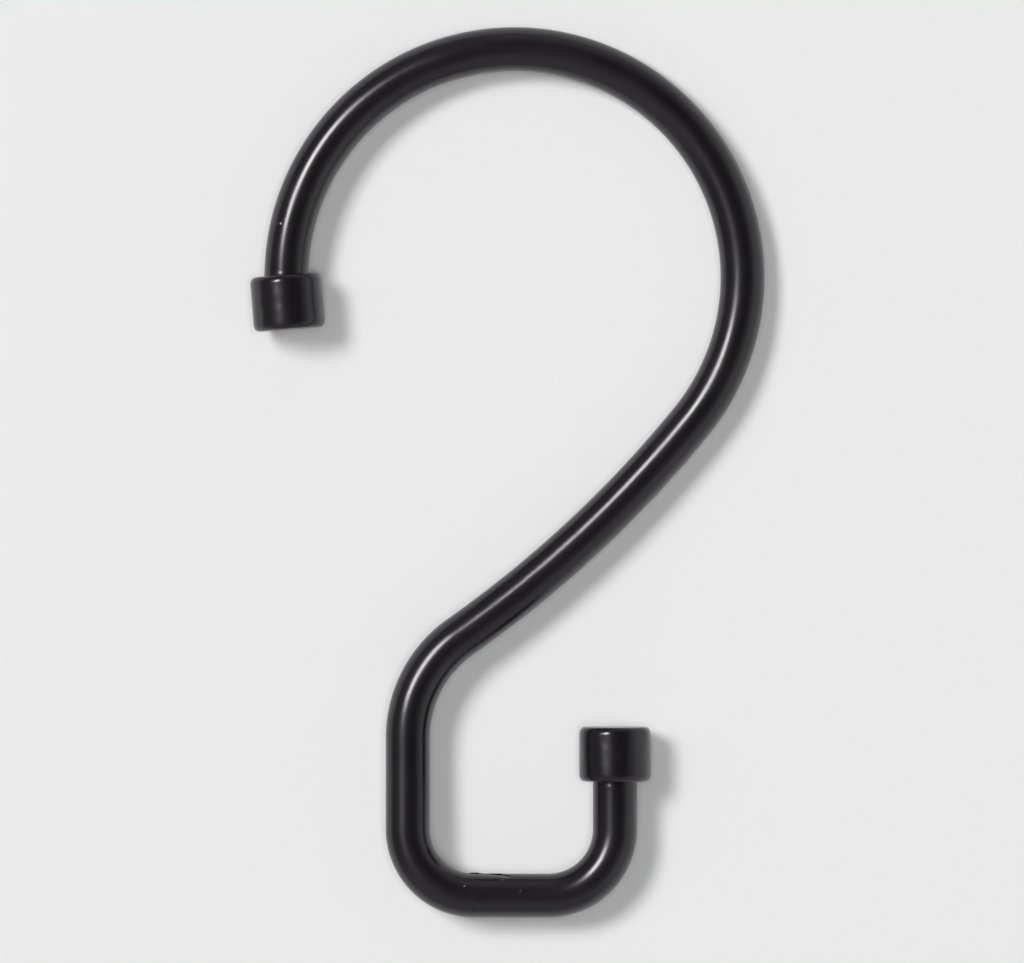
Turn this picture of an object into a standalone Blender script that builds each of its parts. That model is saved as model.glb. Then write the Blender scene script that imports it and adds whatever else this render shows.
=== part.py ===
"""Open curtain hook: one bent steel wire with a steel cap pushed onto each end.

The large open ring hangs over a rail, and the small square hook below it carries
what hangs from the rail. The frame is that of the hook in use: +Z is up, the hook
lies in the XZ plane, its front faces -Y, and the origin is the seat, the highest
point inside the ring, where it rests on the rail. All lengths are in metres.
"""

import math

import bpy
from mathutils import Vector

MM = 0.001

# The wire, with its coat of black paint.
STEEL_DIAMETER = 4.00 * MM
COAT_THICKNESS = 0.03 * MM
WIRE_DIAMETER = STEEL_DIAMETER + 2 * COAT_THICKNESS

# The ring over the rail. Its arc runs from the rod cap round to where the neck starts.
RING_INNER_DIAMETER = 38.0 * MM
RING_RADIUS = (RING_INNER_DIAMETER + WIRE_DIAMETER) / 2
RING_TURN = 218.6

# The neck, a slack arc that sweeps back under the ring, and the bend that ends it.
NECK_RADIUS = 106.0 * MM
NECK_TURN = 15.8
SHOULDER_RADIUS = 11.4 * MM

# The square hook: long leg, seat and short leg, with a bend at each end of the seat.
LONG_LEG = 8.4 * MM
CORNER_RADIUS = 6.15 * MM
CURTAIN_SEAT = 6.8 * MM
SHORT_LEG = 4.4 * MM

# The end caps: steel cups with a blind bore that the wire's end goes into. The ring
# leaves the rod cap almost plumb, and has already turned a little inside it. Headings
# are in degrees, clockwise from straight up as seen from the front.
CAP_DIAMETER = 6.6 * MM
CAP_LENGTH = 5.0 * MM
CAP_RIM_RADIUS = 0.45 * MM
BORE_DIAMETER = 4.40 * MM
BORE_DEPTH = 4.0 * MM
WIRE_IN_CAP = 3.8 * MM
RING_TURN_IN_CAP = 5.0
HEADING_AT_ROD_CAP = 0.5

# How finely curves are divided.
CHORD_ERROR = 0.013 * MM
WIRE_BEVEL_RESOLUTION = 8
CAP_STEPS = 48
RIM_STEPS = 5

WIRE_PAINT = ("wire_paint", (0.010, 0.009, 0.010), 0.0, 0.25)
CAP_PAINT = ("cap_paint", (0.010, 0.009, 0.010), 0.0, 0.28)


def clear_scene():
    """Remove whatever the file was opened with."""
    for obj in list(bpy.data.objects):
        bpy.data.objects.remove(obj, do_unlink=True)


def make_material(name, colour, metallic, roughness):
    """A plain Principled material."""
    material = bpy.data.materials.new(name)
    material.use_nodes = True
    shader = material.node_tree.nodes["Principled BSDF"]
    shader.inputs["Base Color"].default_value = (*colour, 1.0)
    shader.inputs["Metallic"].default_value = metallic
    shader.inputs["Roughness"].default_value = roughness
    return material


def heading_vector(heading):
    """Unit vector in the hook's plane, for a heading in degrees clockwise from straight up."""
    angle = math.radians(heading)
    return Vector((math.sin(angle), 0.0, math.cos(angle)))


def straight(points, heading, length):
    """Carry the wire straight on by a length."""
    points.append(points[-1] + heading_vector(heading) * length)
    return heading


def bend(points, heading, radius, turn):
    """Carry the wire round an arc, clockwise for a positive turn in degrees."""
    widest_step = math.degrees(2 * math.acos(1 - CHORD_ERROR / radius))
    steps = math.ceil(abs(turn) / widest_step)
    step = turn / steps
    chord = 2 * radius * math.sin(math.radians(abs(step)) / 2)
    for _ in range(steps):
        points.append(points[-1] + heading_vector(heading + step / 2) * chord)
        heading += step
    return heading


def wire_route():
    """Centreline of the wire from its rod end to its curtain end, about the ring's centre.

    The runs are those of a wire bender: the last stretch inside the rod cap is
    straight, and the shoulder turns the wire back to hang plumb under the ring.
    """
    heading = HEADING_AT_ROD_CAP - RING_TURN_IN_CAP
    arc_in_cap = RING_RADIUS * math.radians(RING_TURN_IN_CAP)
    arc_start = Vector((0.0, 0.0, 0.0)) - RING_RADIUS * heading_vector(heading + 90.0)
    points = [arc_start - heading_vector(heading) * (WIRE_IN_CAP - arc_in_cap)]
    heading = straight(points, heading, WIRE_IN_CAP - arc_in_cap)
    heading = bend(points, heading, RING_RADIUS, RING_TURN_IN_CAP + RING_TURN)
    heading = bend(points, heading, NECK_RADIUS, NECK_TURN)
    heading = bend(points, heading, SHOULDER_RADIUS, 180.0 - heading)
    heading = straight(points, heading, LONG_LEG)
    heading = bend(points, heading, CORNER_RADIUS, -90.0)
    heading = straight(points, heading, CURTAIN_SEAT)
    heading = bend(points, heading, CORNER_RADIUS, -90.0)
    straight(points, heading, SHORT_LEG + WIRE_IN_CAP)
    return points


def make_hook_wire(collection, parent, route):
    """The bent wire: a round section along the route, with flat cut ends."""
    curve = bpy.data.curves.new("hook_wire", "CURVE")
    curve.dimensions = "3D"
    curve.bevel_depth = WIRE_DIAMETER / 2
    curve.bevel_resolution = WIRE_BEVEL_RESOLUTION
    curve.use_fill_caps = True
    spline = curve.splines.new("POLY")
    spline.points.add(len(route) - 1)
    for point, position in zip(spline.points, route):
        point.co = (*position, 1.0)
    wire = bpy.data.objects.new("hook_wire", curve)
    wire.data.materials.append(make_material(*WIRE_PAINT))
    wire.parent = parent
    collection.objects.link(wire)


def cap_profile():
    """Half section of a cap: mouth at z = 0, closed end at z = CAP_LENGTH, axis at x = 0."""
    outer = CAP_DIAMETER / 2
    flat = outer - CAP_RIM_RADIUS
    profile = [(0.0, CAP_LENGTH)]
    for centre_z, start in ((CAP_LENGTH - CAP_RIM_RADIUS, 90.0), (CAP_RIM_RADIUS, 0.0)):
        for i in range(RIM_STEPS + 1):
            angle = math.radians(start - 90.0 * i / RIM_STEPS)
            x = flat + CAP_RIM_RADIUS * math.cos(angle)
            profile.append((x, centre_z + CAP_RIM_RADIUS * math.sin(angle)))
    bore = BORE_DIAMETER / 2
    profile += [(bore, 0.0), (bore, BORE_DEPTH), (0.0, BORE_DEPTH)]
    return profile


def make_cap(collection, parent, name, wire_end, inside_point, material):
    """A cap over one end of the wire, in line with the wire's last straight run."""
    profile = cap_profile()
    mesh = bpy.data.meshes.new(name)
    edges = [(i, i + 1) for i in range(len(profile) - 1)]
    mesh.from_pydata([(x, 0.0, z) for x, z in profile], edges, [])
    cap = bpy.data.objects.new(name, mesh)
    outward = (wire_end - inside_point).normalized()
    cap.location = wire_end - outward * WIRE_IN_CAP
    cap.rotation_euler = (0.0, math.atan2(outward.x, outward.z), 0.0)
    revolve = cap.modifiers.new("revolve", "SCREW")
    revolve.axis = "Z"
    revolve.steps = CAP_STEPS
    revolve.render_steps = CAP_STEPS
    revolve.use_merge_vertices = True
    revolve.merge_threshold = 0.00001
    cap.data.materials.append(material)
    cap.parent = parent
    collection.objects.link(cap)


def build():
    """Lay the wire out under the origin and put its two caps on."""
    clear_scene()
    collection = bpy.data.collections.new("capped_curtain_hook")
    bpy.context.scene.collection.children.link(collection)
    ring_centre = bpy.data.objects.new("ring_centre", None)
    ring_centre.location = (0.0, 0.0, -RING_INNER_DIAMETER / 2)
    collection.objects.link(ring_centre)

    route = wire_route()
    make_hook_wire(collection, ring_centre, route)
    cap_finish = make_material(*CAP_PAINT)
    make_cap(collection, ring_centre, "rod_end_cap", route[0], route[1], cap_finish)
    make_cap(collection, ring_centre, "curtain_end_cap", route[-1], route[-2], cap_finish)


build()
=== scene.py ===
import math

import bmesh
import bpy
from mathutils import Matrix, Vector, noise


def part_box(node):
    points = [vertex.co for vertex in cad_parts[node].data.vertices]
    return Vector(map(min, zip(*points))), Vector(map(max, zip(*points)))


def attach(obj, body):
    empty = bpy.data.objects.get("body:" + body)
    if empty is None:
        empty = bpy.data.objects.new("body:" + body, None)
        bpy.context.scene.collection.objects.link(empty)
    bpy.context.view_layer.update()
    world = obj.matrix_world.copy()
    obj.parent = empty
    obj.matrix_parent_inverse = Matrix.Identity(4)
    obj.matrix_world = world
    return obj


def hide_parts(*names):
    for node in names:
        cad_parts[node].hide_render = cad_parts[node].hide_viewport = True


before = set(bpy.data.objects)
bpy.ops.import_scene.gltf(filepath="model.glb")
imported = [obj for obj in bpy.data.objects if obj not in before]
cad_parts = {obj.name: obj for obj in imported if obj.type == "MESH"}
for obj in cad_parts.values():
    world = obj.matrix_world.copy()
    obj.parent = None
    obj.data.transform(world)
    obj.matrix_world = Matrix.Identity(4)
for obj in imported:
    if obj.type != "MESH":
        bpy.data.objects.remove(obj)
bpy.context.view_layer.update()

# The hook wire.
# One length of 4 mm mild steel wire, bent cold in one plane: a ring to go over the rail, a slack
# neck back under it, and a small square hook. It is painted satin black and stoved after bending.
MM = 0.001
wire_low, wire_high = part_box("hook_wire")
WIRE_RADIUS = (wire_high.y - wire_low.y) / 2
RING_RADIUS = wire_high.x - WIRE_RADIUS
RING_CENTRE = Vector((0.0, 0.0, WIRE_RADIUS - RING_RADIUS))

# Its straights and bends, in the order that they are made. Headings and turns are in degrees.
WIRE_IN_CAP = 3.8 * MM
HEADING_AT_ROD_CAP = 0.5
RING_TURN_IN_CAP = 5.0
RING_TURN = 218.6
NECK_RADIUS = 106.0 * MM
NECK_TURN = 15.8
SHOULDER_RADIUS = 11.4 * MM
LONG_LEG = 8.4 * MM
CORNER_RADIUS = 6.15 * MM
CURTAIN_SEAT = 6.8 * MM
SHORT_LEG = 4.4 * MM
WIRE_SIDES = 72
STEP = 0.25 * MM


def heading_vector(heading):
    """Unit vector in the hook's plane, for a heading in degrees clockwise from straight up."""
    angle = math.radians(heading)
    return Vector((math.sin(angle), 0.0, math.cos(angle)))


def wire_section(bm, centre, heading):
    """The round section that the wire is drawn through, square to its heading."""
    turned = Matrix.Rotation(math.radians(heading), 4, "Y")
    made = bmesh.ops.create_circle(
        bm, segments=WIRE_SIDES, radius=WIRE_RADIUS, matrix=Matrix.Translation(centre) @ turned)
    return list({edge for vert in made["verts"] for edge in vert.link_edges})


class Wire:
    """A wire on the bender: its open end, and the centre and heading of every step it has made."""

    def __init__(self, bm, start, heading):
        self.bm = bm
        self.centre = start.copy()
        self.heading = heading
        self.rim = wire_section(bm, start, heading)
        self.passed = [(start.copy(), heading)]

    def feed(self, length):
        """Push straight wire out."""
        steps = max(1, round(length / STEP))
        move = heading_vector(self.heading) * length / steps
        for _ in range(steps):
            made = bmesh.ops.extrude_edge_only(self.bm, edges=self.rim)["geom"]
            verts = [item for item in made if isinstance(item, bmesh.types.BMVert)]
            bmesh.ops.translate(self.bm, verts=verts, vec=move)
            self.rim = [item for item in made if isinstance(item, bmesh.types.BMEdge)]
            self.centre += move
            self.passed.append((self.centre.copy(), self.heading))

    def bend(self, radius, turn):
        """Bend it round a former, clockwise from the front for a positive turn in degrees."""
        steps = max(2, round(radius * math.radians(abs(turn)) / STEP))
        side = 1 if turn > 0 else -1
        pivot = self.centre + heading_vector(self.heading + 90 * side) * radius
        made = bmesh.ops.spin(
            self.bm, geom=self.rim, cent=pivot, axis=(0, 1, 0),
            angle=math.radians(turn), steps=steps, use_duplicate=False)
        self.rim = [item for item in made["geom_last"] if isinstance(item, bmesh.types.BMEdge)]
        arm = self.centre - pivot
        for i in range(1, steps + 1):
            part = turn * i / steps
            self.centre = pivot + Matrix.Rotation(math.radians(part), 3, "Y") @ arm
            self.passed.append((self.centre.copy(), self.heading + part))
        self.heading += turn


def cut_end(bm, rim):
    """Close the wire's end with the flat face of a square cut."""
    bmesh.ops.contextual_create(bm, geom=rim)


wire_bm = bmesh.new()
rod_heading = HEADING_AT_ROD_CAP - RING_TURN_IN_CAP
tail = WIRE_IN_CAP - RING_RADIUS * math.radians(RING_TURN_IN_CAP)
bend_start = RING_CENTRE - RING_RADIUS * heading_vector(rod_heading + 90)
rod_end = bend_start - heading_vector(rod_heading) * tail
wire = Wire(wire_bm, rod_end, rod_heading)
cut_end(wire_bm, wire.rim)
wire.feed(tail)
wire.bend(RING_RADIUS, RING_TURN_IN_CAP + RING_TURN)
wire.bend(NECK_RADIUS, NECK_TURN)
wire.bend(SHOULDER_RADIUS, 180 - wire.heading)
wire.feed(LONG_LEG)
wire.bend(CORNER_RADIUS, -90)
wire.feed(CURTAIN_SEAT)
wire.bend(CORNER_RADIUS, -90)
wire.feed(SHORT_LEG + WIRE_IN_CAP)
cut_end(wire_bm, wire.rim)
curtain_end = wire.centre.copy()
curtain_heading = wire.heading


def dome(distance, radius, height):
    """The height of a smooth round rise at a distance from its middle."""
    return height * (1 - (distance / radius) ** 2) ** 2 if abs(distance) < radius else 0.0


# Where the wire enters each cap the paint has run into a low bead: it lies in the mouth of the
# rod end's cap, and hangs half a millimetre below the mouth of the other.
BEAD_HALF_WIDTH = 0.30 * MM
BEAD_HEIGHT = 0.014 * MM
ROD_BEAD_CLEAR = 0.05 * MM
CURTAIN_BEAD_CLEAR = 0.50 * MM
rod_mouth = RING_CENTRE - heading_vector(HEADING_AT_ROD_CAP + 90) * RING_RADIUS
curtain_mouth = curtain_end - heading_vector(curtain_heading) * WIRE_IN_CAP
beads = ((rod_mouth, heading_vector(HEADING_AT_ROD_CAP), ROD_BEAD_CLEAR),
         (curtain_mouth, -heading_vector(curtain_heading), CURTAIN_BEAD_CLEAR))


def on_front(x, z):
    """The point of the wire's front that lies at x and z millimetres from the ring's centre."""
    flat = RING_CENTRE + Vector((x, 0.0, z)) * MM
    aside = min((centre - flat).length for centre, _ in wire.passed)
    return flat - Vector((0.0, math.sqrt(max(0.0, WIRE_RADIUS ** 2 - aside ** 2)), 0.0))


# Specks of dust under the paint: low round nibs, most of them along the bottom of the curtain
# hook. Each has its place on the front, its radius and its height, in millimetres.
specks = [(on_front(x, z), radius * MM, height * MM) for x, z, radius, height in (
    (-4.5, -56.0, 0.24, 0.070), (-3.3, -57.7, 0.22, 0.080), (0.7, -56.5, 0.28, 0.028),
    (-1.1, -55.6, 0.20, 0.090), (-9.1, -45.2, 0.30, 0.020), (20.7, -8.8, 0.24, 0.050),
    (-21.6, 4.9, 0.24, 0.050))]

# The mark of the hanger that it was painted on: a scuffed ledge along the inside of the curtain
# seat, with a thin ragged fin of paint standing over it.
FIN_START = -4.50 * MM
FIN_END = -0.10 * MM
FIN_FROM_TOP = -4.0
FIN_TWIST = 30.0
FIN_POINTS = 90
FIN_THICKNESS = 0.03 * MM
FIN_FOOT = 0.02 * MM
FIN_HEIGHT = 0.14 * MM
FIN_FALL = 0.04 * MM
FIN_RAGS = 0.07 * MM
RAG_SIZE = 0.25 * MM
TORN_START = 0.28
TORN_END = 0.52
TORN_LEFT = 0.5
LEDGE_HALF_WIDTH = 0.24 * MM
LEDGE_DEPTH = 0.035 * MM
CHEW_SIZE = 0.35 * MM
CHEW_MEAN = 0.75
CHEW_SPREAD = 0.8
BARE_SCUFF = 0.3
seat_axis_z = wire_low.z + WIRE_RADIUS


def fin_place(along):
    """The fin's foot, for a fraction of its length, and the way out of the wire there.

    The fin turns from the top of the wire towards its front, in degrees, as it goes along.
    """
    x = FIN_START + (FIN_END - FIN_START) * along
    round_front = math.radians(FIN_FROM_TOP + FIN_TWIST * along)
    out = Vector((0.0, -math.sin(round_front), math.cos(round_front)))
    return Vector((x, 0.0, seat_axis_z)) + out * WIRE_RADIUS, out


def along_fin(point):
    """How far along the fin a point is, from 0 to 1."""
    return (point.x - FIN_START) / (FIN_END - FIN_START)


def faded(along, steepness, least=0.0):
    """How much there is of a mark at a place along it: all of it, but for a fade at each end."""
    return min(1, steepness * along + least, steepness * (1 - along) + least)


def scuff(point):
    """How far the paint is chewed away at a point, from 0 to about 1.4."""
    along = along_fin(point)
    if not 0 < along < 1 or point.y > 0:
        return 0.0
    below = (fin_place(along)[0] - point).length
    chewed = CHEW_MEAN + CHEW_SPREAD * noise.noise(point / CHEW_SIZE)
    across = dome(below - LEDGE_HALF_WIDTH, LEDGE_HALF_WIDTH, 1.0)
    return chewed * across * faded(along, 8)


def lift(point):
    """How far the painted skin stands out from the round wire at a point."""
    height = -LEDGE_DEPTH * scuff(point)
    for speck, radius, rise in specks:
        height += dome((point - speck).length, radius, rise)
    for mouth, out_of_cap, clear in beads:
        if (point - mouth).length < 2 * WIRE_RADIUS:
            height += dome((point - mouth).dot(out_of_cap) - clear, BEAD_HALF_WIDTH, BEAD_HEIGHT)
    return height


def work_over(place, reach):
    """Refine the skin near a place, and set it there on the round wire with its marks."""
    near = [face for face in wire_bm.faces if (face.calc_center_median() - place).length < reach]
    edges = list({edge for face in near for edge in face.edges})
    bmesh.ops.subdivide_edges(wire_bm, edges=edges, cuts=3, use_grid_fill=True)
    stations = [(centre, heading_vector(heading)) for centre, heading in wire.passed
                if (centre - place).length < reach + 2 * WIRE_RADIUS]
    for vert in wire_bm.verts:
        if (vert.co - place).length < reach + STEP:
            centre, along = min(stations, key=lambda station: (vert.co - station[0]).length_squared)
            centre = centre + along * (vert.co - centre).dot(along)
            out = (vert.co - centre).normalized()
            vert.co = centre + out * (WIRE_RADIUS + lift(vert.co))


ROUND_THE_WIRE = WIRE_RADIUS + 0.06 * MM
ROUND_THE_FIN = 2.4 * MM
ROUND_A_SPECK = 0.5 * MM
CLEAR_OF_THE_FIN = 2.2 * MM
fin_middle = fin_place(0.5)[0]
for mouth, out_of_cap, clear in beads:
    work_over(mouth + out_of_cap * clear, ROUND_THE_WIRE)
work_over(fin_middle, ROUND_THE_FIN)
for speck, _, _ in specks:
    if (speck - fin_middle).length > CLEAR_OF_THE_FIN:
        work_over(speck, ROUND_A_SPECK)
for face in wire_bm.faces:
    if scuff(face.calc_center_median()) > BARE_SCUFF:
        face.material_index = 1

feet = [wire_bm.verts.new(foot - out * FIN_FOOT)
        for foot, out in (fin_place(i / (FIN_POINTS - 1)) for i in range(FIN_POINTS))]
foot_edges = [wire_bm.edges.new(pair) for pair in zip(feet, feet[1:])]
raised = bmesh.ops.extrude_edge_only(wire_bm, edges=foot_edges)["geom"]
fin_faces = [item for item in raised if isinstance(item, bmesh.types.BMFace)]
for vert in raised:
    if isinstance(vert, bmesh.types.BMVert):
        along = along_fin(vert.co)
        torn = TORN_LEFT if TORN_START < along < TORN_END else 1.0
        ragged = FIN_HEIGHT - FIN_FALL * along + FIN_RAGS * noise.noise(vert.co / RAG_SIZE)
        vert.co += fin_place(along)[1] * ragged * torn * faded(along, 5, least=0.2)
bmesh.ops.solidify(wire_bm, geom=fin_faces, thickness=FIN_THICKNESS)
bmesh.ops.recalc_face_normals(wire_bm, faces=wire_bm.faces)


def finished(bm, name):
    """A piece made from a bmesh, smooth shaded, at the origin."""
    mesh = bpy.data.meshes.new(name)
    bm.to_mesh(mesh)
    bm.free()
    mesh.shade_smooth()
    piece = bpy.data.objects.new(name, mesh)
    bpy.context.scene.collection.objects.link(piece)
    return piece


def linear(hex_colour):
    """An sRGB hex colour as the linear colour that a shader takes."""
    channels = [int(hex_colour[i:i + 2], 16) / 255 for i in (1, 3, 5)]
    return (*[c / 12.92 if c <= 0.04045 else ((c + 0.055) / 1.055) ** 2.4 for c in channels], 1.0)


def add_node(tree, kind, settings=None, links=None):
    """Add a node, set its sockets and properties, and link what feeds it."""
    node = tree.nodes.new(kind)
    for key, value in (settings or {}).items():
        if isinstance(key, int) or key in node.inputs:
            node.inputs[key].default_value = value
        else:
            setattr(node, key, value)
    for key, source in (links or {}).items():
        tree.links.new(source, node.inputs[key])
    return node


# Stoved black enamel: sprayed on, so it flows out almost level and keeps a slight orange peel.
# It gives a black body with a faint plum cast, one streak from the lamp and a soft pale edge.
BLACK_ENAMEL = ("#120d13", "#161217")


def stoved_enamel(name, shades, peel_mm, peel_height_mm, roughness):
    """Enamel between two shades, with an orange peel of one spacing and height."""
    material = bpy.data.materials.new(name)
    material.use_nodes = True
    tree = material.node_tree
    shader = tree.nodes["Principled BSDF"]
    shader.inputs["IOR"].default_value = 1.53
    place = add_node(tree, "ShaderNodeTexCoord").outputs["Object"]
    peel = add_node(tree, "ShaderNodeTexNoise", {"Scale": 1 / (peel_mm * MM), "Detail": 1.0,
                                                 "Roughness": 0.4}, {"Vector": place})
    bump = add_node(tree, "ShaderNodeBump", {"Strength": 1.0, "Distance": peel_height_mm * MM},
                    {"Height": peel.outputs["Fac"]})
    tree.links.new(bump.outputs["Normal"], shader.inputs["Normal"])
    haze_mm = 4.0
    haze_spread = 0.03
    haze = add_node(tree, "ShaderNodeTexNoise", {"Scale": 1 / (haze_mm * MM), "Detail": 3.0},
                    {"Vector": place})
    gloss = add_node(tree, "ShaderNodeMapRange",
                     {"From Min": 0.3, "From Max": 0.7, "To Min": roughness - haze_spread,
                      "To Max": roughness + haze_spread}, {"Value": haze.outputs["Fac"]})
    tree.links.new(gloss.outputs["Result"], shader.inputs["Roughness"])
    tone = add_node(tree, "ShaderNodeMix",
                    {"data_type": "RGBA", 6: linear(shades[0]), 7: linear(shades[1])},
                    {"Factor": haze.outputs["Fac"]})
    tree.links.new(tone.outputs[2], shader.inputs["Base Color"])
    return material


hook_wire = finished(wire_bm, "hook_wire_painted")
hook_wire.data.materials.append(
    stoved_enamel("stoved_black_enamel", BLACK_ENAMEL, 1.6, 0.008, 0.22))

# Scuffed enamel: the same paint, rubbed dull and pale along the ledge by the hanger. It gives a
# dusty grey line with a fine tooth.
hook_wire.data.materials.append(
    stoved_enamel("scuffed_black_enamel", ("#5f5c5f", "#8a878a"), 0.3, 0.010, 0.5))
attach(hook_wire, "root")
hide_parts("hook_wire")

# The two end caps.
# Steel cups turned from bar, with a blind bore that is pressed over the cut end of the wire. They
# are painted with the wire, and the paint rounds both rims into soft shoulders.
CAP_RADIUS = 3.3 * MM
CAP_LENGTH = 5.0 * MM
RIM_DEPTH = 0.45 * MM
SHOULDER_LENGTH = 0.68 * MM
BORE_RADIUS = 2.2 * MM
BORE_DEPTH = 4.0 * MM
BORE_LIP = 0.12 * MM
CAP_SIDES = 160
END_STEPS = 6
SHOULDER_STEPS = 16
WALL_STEPS = 14
LIP_STEPS = 4


def rim_arc(bm, x, z, across, along, start, steps):
    """Vertices round a quarter of an ellipse, on the section through the cap's axis."""
    turns = [math.radians(start - 90 * i / steps) for i in range(steps + 1)]
    return [bm.verts.new((x + across * math.cos(turn), 0.0, z + along * math.sin(turn)))
            for turn in turns]


def turned_cap(name, wire_end, wire_heading):
    """A cap spun from its half section, closed end out, and carried to the end of the wire."""
    bm = bmesh.new()
    flat = CAP_RADIUS - RIM_DEPTH
    top = CAP_LENGTH - SHOULDER_LENGTH
    wall = top - SHOULDER_LENGTH
    section = [bm.verts.new((flat * i / END_STEPS, 0.0, CAP_LENGTH)) for i in range(END_STEPS)]
    section += rim_arc(bm, flat, top, RIM_DEPTH, SHOULDER_LENGTH, 90, SHOULDER_STEPS)
    section += [bm.verts.new((CAP_RADIUS, 0.0, top - wall * i / WALL_STEPS))
                for i in range(1, WALL_STEPS)]
    section += rim_arc(bm, flat, SHOULDER_LENGTH, RIM_DEPTH, SHOULDER_LENGTH, 0, SHOULDER_STEPS)
    section += rim_arc(bm, BORE_RADIUS + BORE_LIP, BORE_LIP, BORE_LIP, BORE_LIP, -90, LIP_STEPS)
    section += [bm.verts.new((BORE_RADIUS, 0.0, BORE_DEPTH)), bm.verts.new((0.0, 0.0, BORE_DEPTH))]
    edges = [bm.edges.new(pair) for pair in zip(section, section[1:])]
    bmesh.ops.spin(bm, geom=section + edges, cent=(0, 0, 0), axis=(0, 0, 1),
                   angle=2 * math.pi, steps=CAP_SIDES, use_merge=True, use_duplicate=False)
    bmesh.ops.remove_doubles(bm, verts=bm.verts, dist=0.001 * MM)
    bmesh.ops.recalc_face_normals(bm, faces=bm.faces)
    mouth_centre = wire_end - heading_vector(wire_heading) * WIRE_IN_CAP
    bm.transform(Matrix.Translation(mouth_centre)
                 @ Matrix.Rotation(math.radians(wire_heading), 4, "Y"))
    return finished(bm, name)


# The same enamel, thicker on the caps, where it has sagged into soft waves as it ran. It gives a
# streak that swells and fades.
cap_enamel = stoved_enamel("stoved_black_enamel_on_caps", BLACK_ENAMEL, 1.4, 0.055, 0.21)
for name, node, end, end_heading in (
        ("rod_end_cap_painted", "rod_end_cap", rod_end, rod_heading + 180),
        ("curtain_end_cap_painted", "curtain_end_cap", curtain_end, curtain_heading)):
    cap = turned_cap(name, end, end_heading)
    cap.data.materials.append(cap_enamel)
    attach(cap, "root")
    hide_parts(node)

# The backdrop.
# A sheet of plain pale card. The hook lies against it on its two caps and the far side of its
# ring, so the card leans a little from the hook's own plane. From behind, it can be seen through.
CARD_SIZE = 2.4
CARD_GAP = 0.02 * MM
rod_cap_low, rod_cap_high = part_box("rod_end_cap")
curtain_cap_low, curtain_cap_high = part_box("curtain_end_cap")
rod_cap_middle = (Vector(rod_cap_low) + Vector(rod_cap_high)) / 2
curtain_cap_middle = (Vector(curtain_cap_low) + Vector(curtain_cap_high)) / 2
between = (curtain_cap_middle - rod_cap_middle).normalized()
away = Vector((-between.z, 0.0, between.x))
ring_reach = (RING_CENTRE - rod_cap_middle).dot(away) + RING_RADIUS
lean = (CAP_RADIUS - WIRE_RADIUS) / ring_reach
bpy.ops.mesh.primitive_plane_add(size=CARD_SIZE)
card = bpy.context.object
card.name = "pale_card"
normal = (Vector((0, -1, 0)) - away * lean).normalized()
card.rotation_mode = "QUATERNION"
card.rotation_quaternion = normal.to_track_quat("Z", "X")
card.location = rod_cap_middle - normal * (CAP_RADIUS + CARD_GAP)

# Uncoated card: it gives an even pale ground that takes soft shadows.
card_paper = bpy.data.materials.new("pale_card")
card_paper.use_nodes = True
paper = card_paper.node_tree
paper_shader = paper.nodes["Principled BSDF"]
paper_shader.inputs["Base Color"].default_value = linear("#efefef")
paper_shader.inputs["Roughness"].default_value = 0.9
paper_shader.inputs["Specular IOR Level"].default_value = 0.2
back = add_node(paper, "ShaderNodeNewGeometry").outputs["Backfacing"]
see_through = add_node(paper, "ShaderNodeBsdfTransparent")
one_sided = add_node(paper, "ShaderNodeMixShader", links={0: back, 1: paper_shader.outputs[0],
                                                          2: see_through.outputs[0]})
paper.links.new(one_sided.outputs[0], paper.nodes["Material Output"].inputs["Surface"])
card.data.materials.append(card_paper)

# The light.
# One softbox high on the left is the key. A small fill near the camera and a weak one from each
# side soften its shadow without showing in the paint. Another softbox lights the back.
view_middle = Vector((-0.22, 0.0, -37.83)) * MM
SIDE_FILL_TILT = 55
SIDE_FILL_SPREAD = 0.9


def toward(clock, tilt):
    """A direction from the hook, in degrees: tilt from straight out, clock from the right."""
    out = math.radians(tilt)
    turn = math.radians(clock)
    return Vector((math.sin(out) * math.cos(turn), -math.cos(out), math.sin(out) * math.sin(turn)))


def softbox(name, direction, distance, across, outward, radiance, in_gloss=True):
    """An even lamp facing the middle of the view, across metres wide round the line of sight and
    outward metres wide away from it. It may be left out of the hook's reflections."""
    lamp = bpy.data.lights.new(name, "AREA")
    lamp.shape = "RECTANGLE"
    lamp.size = across
    lamp.size_y = outward
    lamp.energy = radiance * math.pi * across * outward
    panel = bpy.data.objects.new(name, lamp)
    panel.location = view_middle + direction * distance
    tangent = direction.cross(Vector((0.0, 1.0, 0.0))).normalized()
    turned = Matrix((tangent, direction.cross(tangent), direction)).transposed()
    panel.rotation_euler = turned.to_euler()
    panel.visible_camera = False
    panel.visible_glossy = in_gloss
    bpy.context.scene.collection.objects.link(panel)


softbox("key_softbox", toward(149.5, 34.3), 4.2, 1.42, 1.12, 21.6)
softbox("front_fill", toward(-45, 2), 1.2, 0.33, 0.33, 14.7, in_gloss=False)
for clock, distance, radiance in (
        (0, 1.0, 0.25), (90, 2.2, 0.21), (180, 2.2, 0.24), (270, 1.0, 0.25)):
    width = SIDE_FILL_SPREAD * distance
    softbox(f"side_fill_{clock}", toward(clock, SIDE_FILL_TILT), distance, width, width, radiance,
            in_gloss=False)
softbox("back_softbox", toward(140, 145), 1.2, 0.7, 0.7, 5.0)

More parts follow.
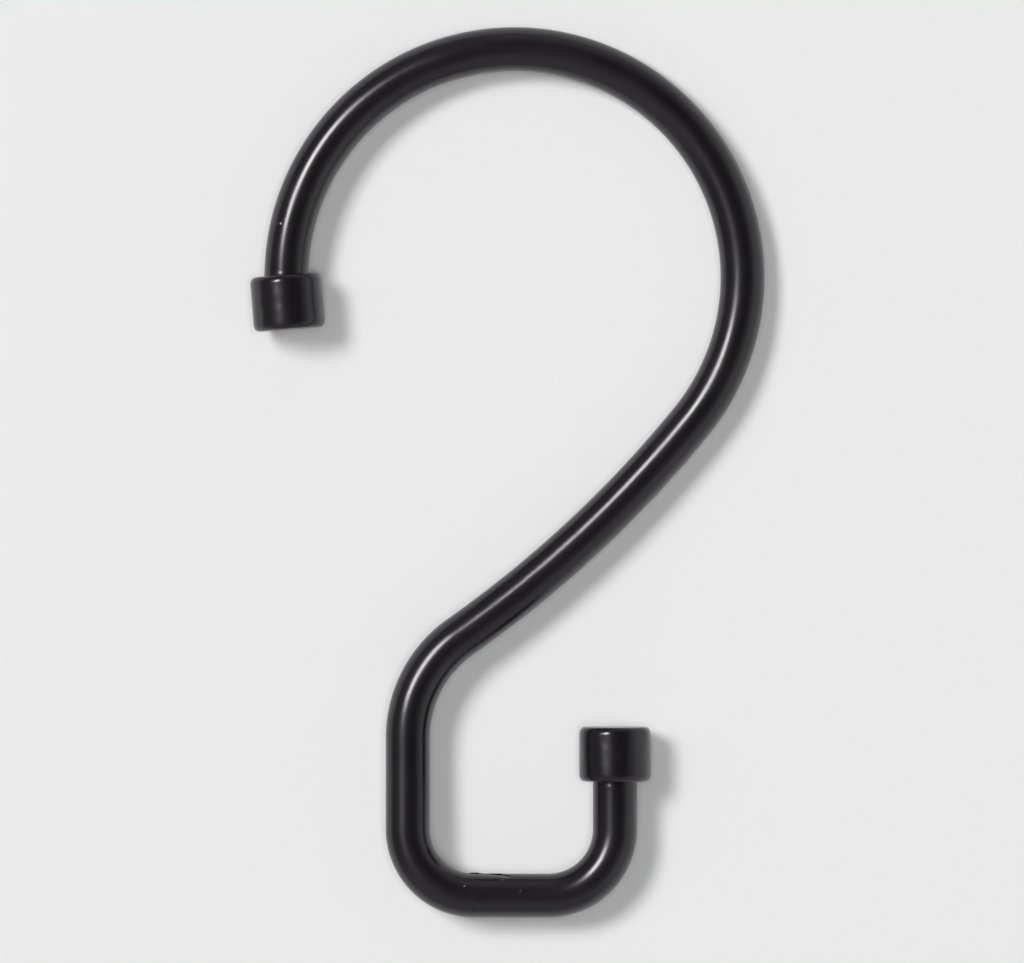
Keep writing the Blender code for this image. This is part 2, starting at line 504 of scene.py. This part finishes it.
# The room.
# The paint reflects a pale room: dark round the camera and on the far left, with a glow beside
# the key softbox and a paler wall on the right. The camera itself sees only an even pale grey.
ROOM_BRIGHTNESS = 0.49
room = bpy.data.worlds.new("pale_room")
room.use_nodes = True
sky = room.node_tree
brightness = None
place = add_node(sky, "ShaderNodeTexCoord").outputs["Generated"]
for direction, inner, outer, factor in (
        (toward(30, 22), 6, 57, 0.12),
        (toward(155, 78), 42, 66, 0.42),
        (toward(166, 30), 6, 25, 3.0),
        (toward(-5, 75), 20, 55, 1.6)):
    facing = add_node(sky, "ShaderNodeVectorMath", {"operation": "DOT_PRODUCT", 1: direction},
                      {0: place})
    patch = add_node(sky, "ShaderNodeMapRange",
                     {"interpolation_type": "SMOOTHSTEP", "From Min": math.cos(math.radians(outer)),
                      "From Max": math.cos(math.radians(inner)), "To Min": 1.0, "To Max": factor},
                     {"Value": facing.outputs["Value"]}).outputs["Result"]
    if brightness is None:
        brightness = patch
    else:
        brightness = add_node(sky, "ShaderNodeMath", {"operation": "MULTIPLY"},
                              {0: brightness, 1: patch}).outputs[0]
strength = add_node(sky, "ShaderNodeMath", {"operation": "MULTIPLY", 1: ROOM_BRIGHTNESS},
                    {0: brightness})
plain = sky.nodes["Background"]
plain.inputs["Color"].default_value = (1.0, 1.0, 1.0, 1.0)
sky.links.new(strength.outputs[0], plain.inputs["Strength"])
seen = add_node(sky, "ShaderNodeBackground", {"Color": linear("#eaeaea"), "Strength": 1.0})
to_camera = add_node(sky, "ShaderNodeLightPath").outputs["Is Camera Ray"]
choice = add_node(sky, "ShaderNodeMixShader", links={0: to_camera, 1: plain.outputs[0],
                                                     2: seen.outputs[0]})
sky.links.new(choice.outputs[0], sky.nodes["World Output"].inputs["Surface"])
room.cycles_visibility.diffuse = False
bpy.context.scene.world = room
bpy.context.scene.view_settings.view_transform = "Standard"

# The camera.
# It looks square at the hook's own plane from 0.9 m, through a long lens.
CAMERA_DISTANCE = 0.9
VIEW_WIDTH = 94.4 * MM
camera_data = bpy.data.cameras.new("camera")
camera_data.lens = camera_data.sensor_width * CAMERA_DISTANCE / VIEW_WIDTH
camera = bpy.data.objects.new("camera", camera_data)
camera.location = view_middle + Vector((0.0, -CAMERA_DISTANCE, 0.0))
camera.rotation_euler = (math.radians(90), 0.0, 0.0)
bpy.context.scene.collection.objects.link(camera)
bpy.context.scene.camera = camera
